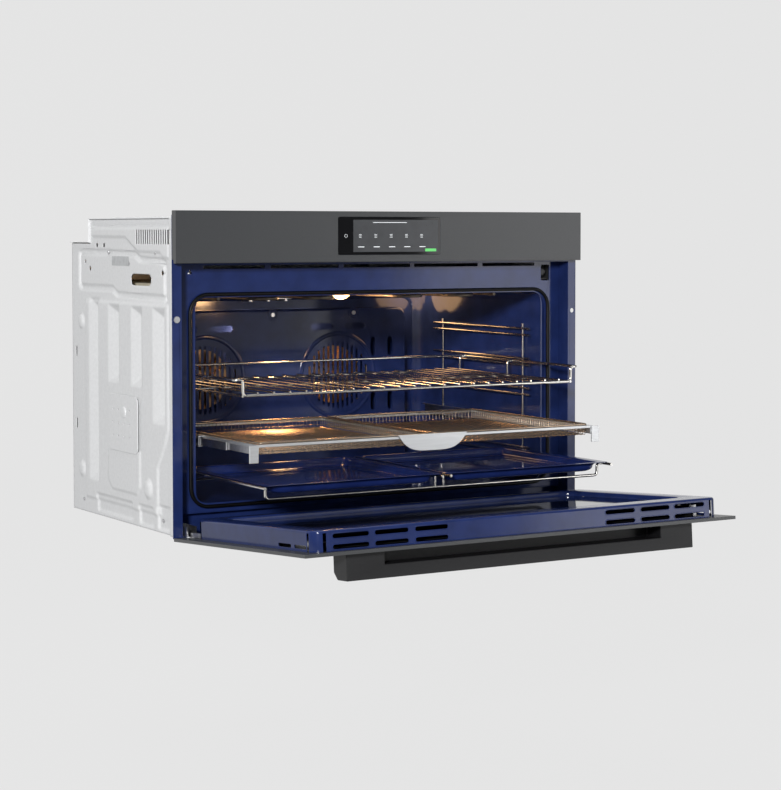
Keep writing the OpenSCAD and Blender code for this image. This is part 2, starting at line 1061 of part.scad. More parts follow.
front_frame();
frame_face();
fascia_panel();
display_glass();
display_module();
control_board();
side_panel_left();
side_panel_right();
side_access_plates();
rear_panel();
base_panel();
top_cover();
cavity_shell();
door_gasket();
fan_cover_panel();
insulation_blanket();
service_deck();
cooling_duct();
blower_housing();
blower_motor();
blower_impeller();
convection_fan_left();
convection_fan_right();
convection_motors();
ring_elements();
grill_element();
bottom_element();
lamp_lens();
lamp_holder();
thermostat_bulb();
rack_ladders();
slide_channels();
hinge_receivers();
hinge_pins();
power_board();
terminal_block();
cable_gland();
door_lock_housing();
door_lock_hook();
housing_screws();
flange_screw();
fan_cover_screws();
door_outer_panel();
door_liner();
door_inner_glass();
door_middle_glass();
glass_retainers();
door_handle();
hinge_arms();
wire_shelf_frame();
wire_shelf_rods();
slide_middle_members();
slide_inner_members();
basket_carriage_frame();
basket_handle_plate();
basket_left();
basket_right();
tray_carrier();
tray_left();
tray_right();
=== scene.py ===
"""Looks of a wide built-in wall oven with its door open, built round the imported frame.

Lengths are written in millimetres and turned into metres where a mesh is made.
"""
import json
import math

import bmesh
import bpy
import numpy as np
from mathutils import Matrix, Vector

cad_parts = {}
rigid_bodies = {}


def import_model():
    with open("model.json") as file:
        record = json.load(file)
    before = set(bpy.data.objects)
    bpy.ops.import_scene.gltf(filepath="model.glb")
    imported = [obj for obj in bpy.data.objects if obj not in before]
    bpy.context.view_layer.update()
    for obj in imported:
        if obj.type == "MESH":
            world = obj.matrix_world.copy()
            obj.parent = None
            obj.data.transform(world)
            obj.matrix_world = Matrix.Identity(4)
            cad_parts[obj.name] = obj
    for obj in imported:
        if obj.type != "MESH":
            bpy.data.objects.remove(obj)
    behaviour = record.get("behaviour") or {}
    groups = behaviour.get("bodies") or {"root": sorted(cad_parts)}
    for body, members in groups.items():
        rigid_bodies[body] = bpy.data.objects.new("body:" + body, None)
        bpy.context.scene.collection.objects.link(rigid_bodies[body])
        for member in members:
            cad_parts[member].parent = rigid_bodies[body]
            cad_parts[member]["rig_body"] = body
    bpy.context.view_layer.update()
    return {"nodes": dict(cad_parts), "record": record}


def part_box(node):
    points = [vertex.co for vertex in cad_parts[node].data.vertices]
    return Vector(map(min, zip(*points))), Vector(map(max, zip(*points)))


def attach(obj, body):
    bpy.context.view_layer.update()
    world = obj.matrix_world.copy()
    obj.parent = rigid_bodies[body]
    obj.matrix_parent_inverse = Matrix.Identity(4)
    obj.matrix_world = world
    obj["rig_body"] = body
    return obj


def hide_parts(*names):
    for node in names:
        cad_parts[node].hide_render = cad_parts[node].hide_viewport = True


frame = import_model()
nodes = frame["nodes"]
joints = {j["name"]: j for j in frame["record"]["behaviour"]["joints"]}
MM = 0.001
SIDES = (-1, 1)


def limits(node):
    """The node's box in millimetres: ((x0, x1), (y0, y1), (z0, z1))."""
    low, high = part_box(node)
    return tuple((low[i] / MM, high[i] / MM) for i in range(3))


# --- outlines ---

def arc(centre, radius, start, end, steps):
    """Points on an arc, with angles in degrees."""
    points = []
    for i in range(steps + 1):
        a = math.radians(start + (end - start) * i / steps)
        points.append((centre[0] + radius * math.cos(a), centre[1] + radius * math.sin(a)))
    return points


def rounded(a, b, radius, steps=6):
    """A rounded rectangle from a[0] to a[1] and b[0] to b[1], anticlockwise."""
    r = max(radius, 0.01)
    points = []
    corners = ((a[1], b[1], 0), (a[0], b[1], 90), (a[0], b[0], 180), (a[1], b[0], 270))
    for p, q, turn in corners:
        centre = (p - r if p == a[1] else p + r, q - r if q == b[1] else q + r)
        points += arc(centre, r, turn, turn + 90, steps)
    return points


def slot(a, b, steps=6):
    """A slot with round ends that fills the rectangle."""
    radius = min(a[1] - a[0], b[1] - b[0]) / 2
    return rounded(a, b, radius - 0.01, steps)


def circle(centre, radius, steps=20):
    return arc(centre, radius, 0, 360 - 360 / steps, steps - 1)


# --- meshes ---

def piece(name, points, faces, material, body, replaces=(), sharp=35):
    """A mesh object, in millimetres, that rides on a body."""
    mesh = bpy.data.meshes.new(name)
    mesh.from_pydata([tuple(c * MM for c in p) for p in points], [], faces)
    mesh.update()
    mesh.shade_smooth()
    mesh.set_sharp_from_angle(angle=math.radians(sharp))
    o = bpy.data.objects.new(name, mesh)
    bpy.context.collection.objects.link(o)
    mesh.materials.append(material)
    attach(o, body)
    if replaces:
        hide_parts(*replaces)
    return o


class Build:
    """Collects points and faces for one piece."""

    def __init__(self):
        self.points = []
        self.faces = []

    def add(self, points, faces):
        base = len(self.points)
        self.points += points
        self.faces += [tuple(base + i for i in f) for f in faces]

    def loft(self, rings, cap_first=False, cap_last=False, keep=None):
        """Skins closed rings with equal counts; keep(middle, k) may drop faces after ring k."""
        n = len(rings[0])
        points = [p for ring in rings for p in ring]
        faces = []
        for k in range(len(rings) - 1):
            for i in range(n):
                j = (i + 1) % n
                face = (k * n + i, k * n + j, (k + 1) * n + j, (k + 1) * n + i)
                middle = [sum(points[v][c] for v in face) / 4 for c in range(3)]
                if keep is None or keep(middle, k):
                    faces.append(face)
        if cap_first:
            faces.append(tuple(range(n))[::-1])
        if cap_last:
            faces.append(tuple((len(rings) - 1) * n + i for i in range(n)))
        self.add(points, faces)

    def plate(self, outline, holes, place, thick):
        """A flat sheet with holes. place(u, v, t) gives the point at depth t."""
        bm = bmesh.new()
        for loop in [outline, *holes]:
            verts = [bm.verts.new((u, v, 0)) for u, v in loop]
            for i, vert in enumerate(verts):
                bm.edges.new((vert, verts[(i + 1) % len(verts)]))
        bmesh.ops.triangle_fill(bm, edges=bm.edges[:], use_beauty=True)
        flat = bm.faces[:]
        made = bmesh.ops.extrude_face_region(bm, geom=flat)["geom"]
        for v in made:
            if isinstance(v, bmesh.types.BMVert):
                v.co.z = thick
        bmesh.ops.recalc_face_normals(bm, faces=bm.faces[:])
        bm.verts.index_update()
        points = [place(v.co.x, v.co.y, v.co.z) for v in bm.verts]
        self.add(points, [tuple(v.index for v in f.verts) for f in bm.faces])
        bm.free()

    def tube(self, path, radius, sides=10, bend=0.0, closed=False):
        """A round bar along a path, with its corners rounded to the bend radius."""
        line = fillet(path, bend) if bend else [Vector(p) for p in path]
        rings = []
        count = len(line)
        up = None
        for i, p in enumerate(line):
            before = line[i - 1] if i or closed else p
            after = line[(i + 1) % count] if i < count - 1 or closed else p
            along = (after - before).normalized()
            if up is None:
                up = Vector((0, 0, 1)) if abs(along.z) < 0.9 else Vector((1, 0, 0))
            side = along.cross(up).normalized()
            up = side.cross(along).normalized()
            rings.append([
                tuple(p + radius * (math.cos(t) * side + math.sin(t) * up))
                for t in (2 * math.pi * k / sides for k in range(sides))])
        if closed:
            rings.append(rings[0])
            self.loft(rings)
        else:
            self.loft(rings, cap_first=True, cap_last=True)

    def make(self, name, material, body, replaces=(), sharp=35):
        return piece(name, self.points, self.faces, material, body, replaces, sharp)


def fillet(path, radius, steps=5):
    """The path with each corner replaced by a smooth bend."""
    points = [Vector(p) for p in path]
    out = [points[0]]
    for i in range(1, len(points) - 1):
        p, q, r = points[i - 1], points[i], points[i + 1]
        a, b = (p - q), (r - q)
        reach = min(radius, a.length * 0.48, b.length * 0.48)
        start, end = q + a.normalized() * reach, q + b.normalized() * reach
        for k in range(steps + 1):
            t = k / steps
            out.append((1 - t) ** 2 * start + 2 * t * (1 - t) * q + t ** 2 * end)
    out.append(points[-1])
    return out


def upright_ring(half, z, radius, y, steps=6):
    """A rounded rectangle standing across the oven, centred on x = 0."""
    return [(p, y, q) for p, q in rounded((-half, half), z, radius, steps)]


def flat_ring(x, y, radius, z, steps=5):
    return [(p, q, z) for p, q in rounded(x, y, radius, steps)]


hinge = joints["door_hinge"]
hinge_point = Vector(hinge["pos_m"])
door_swing = math.radians(hinge["range_deg"][1])


def open_door(o):
    """Turns a piece drawn on the closed door to where the open door holds it."""
    turn = Matrix.Rotation(door_swing, 4, "X")
    o.data.transform(Matrix.Translation(hinge_point) @ turn @ Matrix.Translation(-hinge_point))


def soften(o, width, angle):
    """Rounds the edges that turn by more than the angle, in degrees."""
    bevel = o.modifiers.new("edges", "BEVEL")
    bevel.width = width * MM
    bevel.segments = 2
    bevel.limit_method = "ANGLE"
    bevel.angle_limit = math.radians(angle)


# --- materials ---

def socket(shader, name, value):
    shader.inputs[name].default_value = value


def noise(tree, coordinates, scale, detail):
    """The value of a noise texture over the given coordinates."""
    texture = tree.nodes.new("ShaderNodeTexNoise")
    texture.inputs["Scale"].default_value = scale
    texture.inputs["Detail"].default_value = detail
    tree.links.new(coordinates, texture.inputs["Vector"])
    return texture.outputs["Fac"]


def varied_colour(tree, value, colour, vary):
    """The colour, darker where the value is low and lighter where it is high."""
    ramp = tree.nodes.new("ShaderNodeValToRGB")
    shades = ((0.3, [c * (1 - vary) for c in colour]),
              (0.7, [min(1, c * (1 + vary)) for c in colour]))
    for stop, (position, shade) in zip(ramp.color_ramp.elements, shades):
        stop.position = position
        stop.color = (*shade, 1)
    tree.links.new(value, ramp.inputs["Fac"])
    return ramp.outputs["Color"]


def worn_edges(tree, base, colour, wear):
    """The base colour, lightened along exposed edges."""
    geometry = tree.nodes.new("ShaderNodeNewGeometry")
    edge = tree.nodes.new("ShaderNodeValToRGB")
    edge.color_ramp.elements[0].position = 0.52
    edge.color_ramp.elements[1].position = 0.62
    tree.links.new(geometry.outputs["Pointiness"], edge.inputs["Fac"])
    worn = tree.nodes.new("ShaderNodeMixRGB")
    worn.inputs["Color2"].default_value = (*[min(1, c + wear) for c in colour], 1)
    tree.links.new(edge.outputs["Color"], worn.inputs["Fac"])
    tree.links.new(base, worn.inputs["Color1"])
    return worn.outputs["Color"]


def varied_gloss(tree, value, rough, rough_vary):
    """The roughness, which follows a noise value."""
    gloss = tree.nodes.new("ShaderNodeMapRange")
    gloss.inputs["To Min"].default_value = max(0.0, rough - rough_vary)
    gloss.inputs["To Max"].default_value = min(1.0, rough + rough_vary)
    tree.links.new(value, gloss.inputs["Value"])
    return gloss.outputs["Result"]


def fine_relief(tree, value, strength):
    """A bump that follows a noise value."""
    relief = tree.nodes.new("ShaderNodeBump")
    relief.inputs["Strength"].default_value = strength
    relief.inputs["Distance"].default_value = 0.0004
    tree.links.new(value, relief.inputs["Height"])
    return relief.outputs["Normal"]


def surface(name, colour, rough, metal=0.0, coat=0.0, vary=0.12, grain=40.0, bump=0.05,
            bump_scale=300.0, stretch=(1, 1, 1), wear=0.0, specular=0.5, rough_vary=0.06):
    """A material whose colour, gloss and fine relief vary over the surface.

    wear lightens exposed edges and stretch draws the grain out along an axis."""
    m = bpy.data.materials.new(name)
    m.use_nodes = True
    tree = m.node_tree
    shader = tree.nodes["Principled BSDF"]
    socket(shader, "Metallic", metal)
    socket(shader, "Specular IOR Level", specular)
    socket(shader, "Coat Weight", coat)
    socket(shader, "Coat Roughness", 0.04)
    coords = tree.nodes.new("ShaderNodeTexCoord")
    mapping = tree.nodes.new("ShaderNodeMapping")
    mapping.inputs["Scale"].default_value = stretch
    tree.links.new(coords.outputs["Object"], mapping.inputs["Vector"])
    broad = noise(tree, mapping.outputs["Vector"], grain, 5)
    fine = noise(tree, mapping.outputs["Vector"], bump_scale, 3)
    paint = varied_colour(tree, broad, colour, vary)
    if wear:
        paint = worn_edges(tree, paint, colour, wear)
    tree.links.new(paint, shader.inputs["Base Color"])
    tree.links.new(varied_gloss(tree, fine, rough, rough_vary), shader.inputs["Roughness"])
    tree.links.new(fine_relief(tree, fine, bump), shader.inputs["Normal"])
    return m


def glowing(name, colour, strength):
    """A lit surface, a little uneven."""
    m = surface(name, colour, 0.3, vary=0.2, grain=60)
    shader = m.node_tree.nodes["Principled BSDF"]
    socket(shader, "Emission Color", (*colour, 1))
    socket(shader, "Emission Strength", strength)
    return m


enamel = surface("blue_enamel", (0.013, 0.025, 0.105), 0.13, specular=0.32, vary=0.18,
                 grain=25, bump=0.10, bump_scale=90, rough_vary=0.03)
tray_enamel = surface("tray_enamel", (0.009, 0.019, 0.100), 0.10, coat=0.1, specular=0.4,
                      vary=0.2, grain=25, bump=0.10, bump_scale=90, rough_vary=0.03)
panel_coat = surface("anthracite_coat", (0.035, 0.037, 0.040), 0.34, vary=0.08, grain=600,
                     bump=0.06, bump_scale=2600, rough_vary=0.05, wear=0.02)
handle_coat = surface("black_satin", (0.008, 0.008, 0.009), 0.42, specular=0.25, vary=0.1, grain=600,
                      bump=0.08, bump_scale=2600, wear=0.02)
black_glass = surface("black_glass", (0.004, 0.004, 0.005), 0.05, specular=0.3, vary=0.1,
                      bump=0.0, rough_vary=0.01)
window_glass = surface("window_glass", (0.004, 0.006, 0.018), 0.05, specular=0.25, vary=0.1,
                       bump=0.01, rough_vary=0.01)
zinc = surface("galvanised_sheet", (0.76, 0.765, 0.77), 0.40, metal=0.1, vary=0.035, grain=160,
               bump=0.05, bump_scale=1200, rough_vary=0.08)
steel = surface("plated_steel", (0.55, 0.55, 0.56), 0.3, metal=1.0, vary=0.1, grain=120,
                bump=0.05, bump_scale=900)
brushed = surface("brushed_steel", (0.55, 0.56, 0.57), 0.34, metal=0.85, vary=0.06, grain=220,
                  bump=0.08, bump_scale=1500, stretch=(0.06, 1, 1))
chrome = surface("chrome_wire", (0.60, 0.585, 0.56), 0.18, metal=1.0, vary=0.08, grain=90,
                 bump=0.03, bump_scale=500)
woven = surface("woven_wire", (0.42, 0.33, 0.25), 0.24, metal=0.9, vary=0.25, grain=300,
                bump=0.05, bump_scale=2000)
rubber = surface("black_silicone", (0.002, 0.002, 0.0025), 0.45, specular=0.2, vary=0.2,
                 grain=80, bump=0.15, bump_scale=1500)
plastic = surface("black_plastic", (0.02, 0.02, 0.022), 0.5, vary=0.15, grain=200, bump=0.2,
                  bump_scale=2500)
board = surface("circuit_board", (0.02, 0.12, 0.05), 0.4, vary=0.3, grain=120, bump=0.2,
                bump_scale=700)
sheath = surface("element_sheath", (0.16, 0.13, 0.10), 0.45, metal=0.6, vary=0.4, grain=60,
                 bump=0.1, bump_scale=1500)
mat_wool = surface("mineral_wool", (0.55, 0.50, 0.38), 0.95, vary=0.25, grain=70, bump=0.8,
                   bump_scale=350)
# the fans' orange-brown colour is painted lamp glow: the warm light of the oven lamps, reflected on
# the blades, painted into the steel
lamp_glow_steel = surface("steel_painted_with_lamp_glow", (0.42, 0.25, 0.13), 0.35, metal=0.9, vary=0.3, grain=60,
                    bump=0.05, bump_scale=900)
ceramic = surface("lamp_ceramic", (0.75, 0.73, 0.68), 0.6, vary=0.08, grain=90, bump=0.1)
lens_glow = glowing("lamp_lens", (1.0, 0.66, 0.30), 4.0)

# galvanised sheet is the look of every node that isn't named here
LOOKS = (
    (enamel, ("front_frame", "frame_face", "cavity_shell", "fan_cover_panel", "door_liner")),
    (tray_enamel, ("tray_left", "tray_right")),
    (panel_coat, ("fascia_panel", "door_outer_panel")),
    (handle_coat, ("door_handle",)),
    (black_glass, ("display_glass",)),
    (window_glass, ("door_inner_glass", "door_middle_glass")),
    (plastic, ("display_module", "terminal_block", "cable_gland", "door_lock_housing",
               "door_lock_hook")),
    (board, ("control_board", "power_board")),
    (mat_wool, ("insulation_blanket",)),
    # the fans take the steel with the painted lamp glow
    (lamp_glow_steel, ("convection_fan_left", "convection_fan_right")),
    (rubber, ("door_gasket",)),
    (lens_glow, ("lamp_lens",)),
    (ceramic, ("lamp_holder",)),
    (sheath, ("ring_elements", "grill_element", "bottom_element")),
    (chrome, ("rack_ladders", "wire_shelf_frame", "wire_shelf_rods", "tray_carrier")),
    (woven, ("basket_left", "basket_right")),
    (brushed, ("basket_carriage_frame", "basket_handle_plate")),
    (steel, ("hinge_receivers", "hinge_pins", "hinge_arms", "glass_retainers",
             "thermostat_bulb", "slide_channels", "slide_middle_members",
             "slide_inner_members", "housing_screws", "flange_screw", "fan_cover_screws",
             "blower_impeller", "convection_motors", "blower_motor")),
)
for o in nodes.values():
    o.data.materials.clear()
    o.data.materials.append(zinc)
for look, names in LOOKS:
    for node in names:
        nodes[node].data.materials[0] = look

# --- driving sizes, in millimetres, read from the frame ---

REAR_PANEL_GAP = 1.1
SHEET = 1
# width of the flange round the oven mouth, beside it and above and below it
FLANGE_BESIDE = 12
FLANGE_ABOVE = 6
side_plane = limits("rear_panel")[0][1] + REAR_PANEL_GAP
side_depth = limits("rear_panel")[1][1]
side_height = limits("side_panel_left")[2][1]
strip_plane = limits("side_panel_right")[0][1]
shell_x, shell_y, shell_z = limits("cavity_shell")
cavity_half = shell_x[1] - FLANGE_BESIDE - SHEET
cavity_z = (shell_z[0] + FLANGE_ABOVE, shell_z[1] - FLANGE_ABOVE)
cavity_y = (shell_y[0] + SHEET, shell_y[1] - SHEET)
fan_x, fan_z = (sum(limits("convection_fan_right")[i]) / 2 for i in (0, 2))

# --- pressed sheet metal ---

def signed_distance(polygon, p, q):
    """Distance from grid points to a polygon's edge, positive inside it."""
    nearest = np.full(p.shape, np.inf)
    within = np.zeros(p.shape, bool)
    for i, a in enumerate(polygon):
        b = polygon[(i + 1) % len(polygon)]
        along_p, along_q = b[0] - a[0], b[1] - a[1]
        share = ((p - a[0]) * along_p + (q - a[1]) * along_q) / (along_p ** 2 + along_q ** 2)
        share = np.clip(share, 0, 1)
        gap = np.hypot(p - a[0] - share * along_p, q - a[1] - share * along_q)
        nearest = np.minimum(nearest, gap)
        if along_q:
            crossing = a[0] + (q - a[1]) * along_p / along_q
            within ^= ((a[1] <= q) != (b[1] <= q)) & (p < crossing)
    return np.where(within, nearest, -nearest)


def ease(d, width):
    """0 well outside an edge, 1 well inside, with a soft ramp of the given width."""
    t = np.clip(d / width + 0.5, 0, 1)
    return t * t * (3 - 2 * t)


def grid_lines(start, end, step, exact=()):
    """Even grid lines, with the nearest one moved onto each exact value."""
    lines = np.linspace(start, end, int(round((end - start) / step)) + 1)
    for value in exact:
        lines[np.abs(lines - value).argmin()] = value
    return lines


def pressed_sheet(ps, qs, height, holes, place):
    """Points and faces of a sheet whose relief is height(p, q), without its holes.

    holes is a list of polygons; place(p, q, h) gives the point."""
    p, q = np.meshgrid(ps, qs, indexing="ij")
    reach = 0.55 * (ps[1] - ps[0])
    cut = np.full(p.shape, -np.inf)
    for polygon in holes:
        d = signed_distance(polygon, p, q)
        step = 0.01
        slope_p = (signed_distance(polygon, p + step, q) - d) / step
        slope_q = (signed_distance(polygon, p, q + step) - d) / step
        near = np.abs(d) < reach
        p = np.where(near, p - d * slope_p, p)
        q = np.where(near, q - d * slope_q, q)
        cut = np.maximum(cut, np.where(near, 0, d))
    h = height(p, q)
    points = [place(*v) for v in zip(p.ravel(), q.ravel(), h.ravel())]
    across = len(qs)
    faces = []
    for i in range(len(ps) - 1):
        for j in range(across - 1):
            if cut[i:i + 2, j:j + 2].max() > 0 or cut[i:i + 2, j:j + 2].min() >= 0:
                continue
            k = i * across + j
            faces.append((k, k + across, k + across + 1, k + 1))
    return points, faces


def thicken(o, thickness, offset=-1):
    """Gives a surface its sheet thickness; offset says to which side it grows."""
    solid = o.modifiers.new("sheet", "SOLIDIFY")
    solid.thickness = thickness * MM
    solid.offset = offset


# --- side panels ---

# the flat strip behind the front flange ends here
STRIP_END = 50
LOUVRE_WIDTH = 5
LOUVRE_Y = [14 + 10 * i for i in range(19)]
LOUVRE_Z = (537, 564)
# outlines of the raised and sunk fields, as (depth from the front, height)
BAND = [(486, 455), (486, 517), (470, 521), (218, 518), (190, 508), (95, 506), (77, 501),
        (77, 437), (300, 439), (324, 450), (478, 450)]
UPPER_STEP = [(418, 570), (418, 551), (255, 550), (194, 523), (94, 522), (81, 512),
              (20, 512), (20, 570)]
LOWER_FIELD = [(455, 424), (455, 31), (105, 31), (110, 58), (110, 120), (77, 166), (61, 195),
               (61, 424)]
SKIRT = [(185, 143), (185, 75), (201, 61), (316, 61), (336, 78), (336, 143)]
# front edge, rear edge, bottom and top of each rib
RIBS = [(387, 435, 68, 431), (286, 338, 268, 421), (178, 228, 266, 419), (74, 128, 202, 419)]
# front edge, rear edge, bottom and top of each recess along the foot
FOOT = [(225, 401, 9, 43), (130, 197, 6, 43), (61, 113, 6, 50)]
# depth and height of the centre, radius and rise of each dome; the last one is a dimple
DOMES = [(148, 77, 19, 6), (477.5, 381.5, 15, 5), (477.5, 85, 16, 5), (76, 436, 9, -3)]
RIB_DEPTH = 14
RIB_SLOPE = 9
RIB_END = 24
# how far each field stands out, or goes in where it is negative
UPPER_STEP_RISE = 4.0
BAND_RISE = -4.5
LOWER_FIELD_RISE = 3.2
SKIRT_RISE = 3.0
FOOT_RISE = -4.0
# a fine groove along the top of the upper step
GROOVE_RISE = -1.2
GROOVE_Z = 570
GROOVE_END = 420
# spacing of the grid that the pressed sheet is made on
SHEET_GRID = 2.5
# depth of the lower step at the rear of the top cover
TOP_STEP_DEPTH = 96.5


def side_relief(p, q):
    """How far the side sheet stands out from the housing's side plane."""
    h = UPPER_STEP_RISE * ease(signed_distance(UPPER_STEP, p, q), 5)
    h += BAND_RISE * ease(5 - np.abs(signed_distance(BAND, p, q)), 4)
    h += LOWER_FIELD_RISE * ease(signed_distance(LOWER_FIELD, p, q), 6)
    h += SKIRT_RISE * ease(signed_distance(SKIRT, p, q), 5)
    for front, rear, low, high in RIBS:
        ramp = np.minimum((p - front) / RIB_SLOPE, (rear - p) / (rear - front - RIB_SLOPE))
        ends = np.minimum((high - q) / RIB_END, (q - low) / RIB_END)
        h -= RIB_DEPTH * np.clip(np.minimum(ramp, ends), 0, 1)
    for front, rear, low, high in FOOT:
        corners = rounded((front, rear), (low, high), 5, 3)
        h += FOOT_RISE * ease(signed_distance(corners, p, q), 4)
    for y, z, radius, rise in DOMES:
        away = np.clip(np.hypot(p - y, q - z) / radius, 0, 1)
        h += rise * (1 - away ** 4)
    h += GROOVE_RISE * ease(3 - np.abs(q - GROOVE_Z), 3) * ease(GROOVE_END - p, 6)
    h = h * ease(p - STRIP_END - 6, 8)
    return h + (strip_plane - side_plane) * ease(STRIP_END - p, 3)


def side_holes():
    """Louvres, the oval opening, two tab slots and the round holes."""
    holes = [rounded((y, y + LOUVRE_WIDTH), LOUVRE_Z, 0.5, 1) for y in LOUVRE_Y]
    holes.append(slot((140, 232), (458.5, 480.5)))
    holes += [rounded((504, 509), (z - 10, z + 10), 1.5, 2) for z in (174, 320)]
    round_holes = ((434, 487.5, 4), (398, 534, 4.5), (363, 534, 4.5), (244, 499, 3.4),
                   (88, 484, 5), (457, 501, 3))
    holes += [circle((y, z), radius, 16) for y, z, radius in round_holes]
    return holes


def side_panel(side, name, node):
    """One pressed side sheet, with its upper rear corner cut away under the top's step."""
    louvre_edges = [y + w for y in LOUVRE_Y for w in (0, LOUVRE_WIDTH)]
    ys = grid_lines(0, side_depth, SHEET_GRID, louvre_edges)
    zs = grid_lines(0, side_height, SHEET_GRID, LOUVRE_Z)
    points, faces = pressed_sheet(
        ys, zs, side_relief, side_holes(),
        lambda p, q, h: (side * (side_plane + h), p, q))
    shoulder = limits("rear_panel")[2][1]
    step_y = limits("top_cover")[1][1] - TOP_STEP_DEPTH
    kept = [f for f in faces
            if not (points[f[0]][1] > step_y and points[f[2]][2] > shoulder + 1)]
    if side < 0:
        kept = [f[::-1] for f in kept]
    o = piece(name, points, kept, zinc, "housing", (node,), 50)
    loose = bmesh.new()
    loose.from_mesh(o.data)
    bmesh.ops.delete(loose, geom=[v for v in loose.verts if not v.link_faces], context="VERTS")
    loose.to_mesh(o.data)
    loose.free()
    thicken(o, SHEET)


side_panel(-1, "left_side_sheet", "side_panel_left")
side_panel(1, "right_side_sheet", "side_panel_right")


def access_plates():
    """Raised covers over the wiring, with a grid of small vents and one plug."""
    _, y, z = limits("side_access_plates")
    stand_off, thick = 6.4, 1.8
    vent_radius, pitch_y, pitch_z = 2, 26, 25.5
    plug_centre = (252, 214)
    plug_profile = ((11, -0.2), (10.6, 1.4), (8, 2.2), (4, 2.4))
    b = Build()
    vents = [circle((227 + pitch_y * i, 167 + pitch_z * j), vent_radius, 12)
             for i in range(4) for j in range(3)]
    for side in SIDES:
        b.plate(rounded(y, z, 12), vents,
                lambda u, v, t, side=side: (side * (side_plane + stand_off + t), u, v), thick)
        plug = [[(side * (side_plane + stand_off + thick + rise), p, q)
                 for p, q in circle(plug_centre, radius)]
                for radius, rise in plug_profile]
        b.loft(plug if side < 0 else [ring[::-1] for ring in plug], cap_last=True)
    plates = b.make("access_plates", zinc, "housing", ("side_access_plates",))
    soften(plates, 0.9, 30)


access_plates()


def data_plate():
    """A blank foil plate on the left side, where the maker's data would be."""
    b = Build()
    b.plate(rounded((242, 323), (495, 513), 1.5), [],
            lambda u, v, t: (-side_plane - 0.1 - t, u, v), 0.4)
    foil = surface("blank_foil", (0.52, 0.53, 0.54), 0.35, metal=0.5, vary=0.1, grain=90)
    b.make("blank_data_plate", foil, "housing")


data_plate()


# --- cavity ---

def cavity_liner():
    """The enamelled box with its mouth flange, and a back wall with holes for shafts and legs."""
    mouth, bend_y = 26, 470
    shaft_radius, leg_radius, leg_x, leg_z = 6, 4, 12, 79
    b = Build()
    rings = [upright_ring(cavity_half, cavity_z, mouth, y) for y in (cavity_y[0], bend_y)]
    turn = cavity_y[1] - bend_y
    for k in range(1, 6):
        a = math.radians(18 * k)
        inset = turn * (1 - math.cos(a))
        rings.append(upright_ring(cavity_half - inset, (cavity_z[0] + inset, cavity_z[1] - inset),
                                  mouth, bend_y + turn * math.sin(a)))
    flange = upright_ring(cavity_half + FLANGE_BESIDE,
                          (cavity_z[0] - FLANGE_ABOVE, cavity_z[1] + FLANGE_ABOVE), mouth + 8,
                          cavity_y[0])
    b.loft([flange] + rings)
    thicken(b.make("cavity_liner", enamel, "housing", ("cavity_shell",)), 0.8, 1)
    holes = []
    for side in SIDES:
        holes.append(circle((side * fan_x, fan_z), shaft_radius))
        for leg in SIDES:
            holes.append(circle((side * fan_x + leg_x * leg, fan_z + leg_z), leg_radius))
    back = Build()
    back.plate([(p, q) for p, _, q in rings[-1]], holes,
               lambda u, v, t: (u, cavity_y[1] + t, v), 0.8)
    back.make("cavity_back_wall", enamel, "housing")


cavity_liner()


def mouth_seal():
    """The round silicone lip that runs round the mouth of the oven."""
    x, y, z = limits("door_gasket")
    inset, lip_radius = 4, 3.4
    outline = rounded((x[0] + inset, x[1] - inset), (z[0] + inset, z[1] - inset), 36, 10)
    b = Build()
    b.tube([(p, y[1] - lip_radius, q) for p, q in outline], lip_radius, 12, closed=True)
    b.make("mouth_seal", rubber, "housing", ("door_gasket",), 60)


mouth_seal()


def fan_panel():
    """The cover over the fans: grilles of upright slots in an embossed ring."""
    x, y, z = limits("fan_cover_panel")
    grille_radius, pitch, half_slot = 72, 11.5, 2.75
    corner, edge = 20, 5
    ring_profile = ((84, -0.3), (86, 1.2), (89, 1.9), (92, 1.2), (94, -0.3))
    screw_profile = ((9, -0.2), (10, 0.8), (12, 0.8), (13, -0.2))
    screw_z = 385
    holes = []
    for side in SIDES:
        for i in range(-6, 7):
            reach = math.sqrt(grille_radius ** 2 - (pitch * i) ** 2)
            centre = side * fan_x + pitch * i
            holes.append(slot((centre - half_slot, centre + half_slot),
                              (fan_z - reach, fan_z + reach), 3))
        for a in ((93, 146), (174, 225)):
            ends = sorted((side * a[0], side * a[1]))
            holes.append(slot(ends, (351, 364.6), 4))
        for c in (244.5, 287):
            for low in (174, 292):
                holes.append(slot((side * c - 6, side * c + 6), (low, low + 40), 4))
    b = Build()
    b.plate(rounded((x[0] + edge, x[1] - edge), (z[0] + edge, z[1] - edge), corner - edge),
            holes, lambda u, v, t: (u, y[0] + t, v), SHEET)
    rings = []
    for k in range(6):
        a = math.radians(18 * k)
        inset = edge * (1 - math.sin(a))
        rings.append(upright_ring(x[1] - inset, (z[0] + inset, z[1] - inset), corner - inset,
                                  y[0] + edge * (1 - math.cos(a))))
    rings.append(upright_ring(x[1], z, corner, y[1]))
    b.loft(rings)
    for side in SIDES:
        centre = (side * fan_x, fan_z)
        b.loft([[(p, y[0] - rise, q) for p, q in circle(centre, radius, 64)]
                for radius, rise in ring_profile])
    for screw_x in (-196, 0, 196):
        b.loft([[(p, y[0] - rise, q) for p, q in circle((screw_x, screw_z), radius, 32)]
                for radius, rise in screw_profile])
    b.make("fan_cover", enamel, "housing", ("fan_cover_panel",))


fan_panel()


# --- door ---

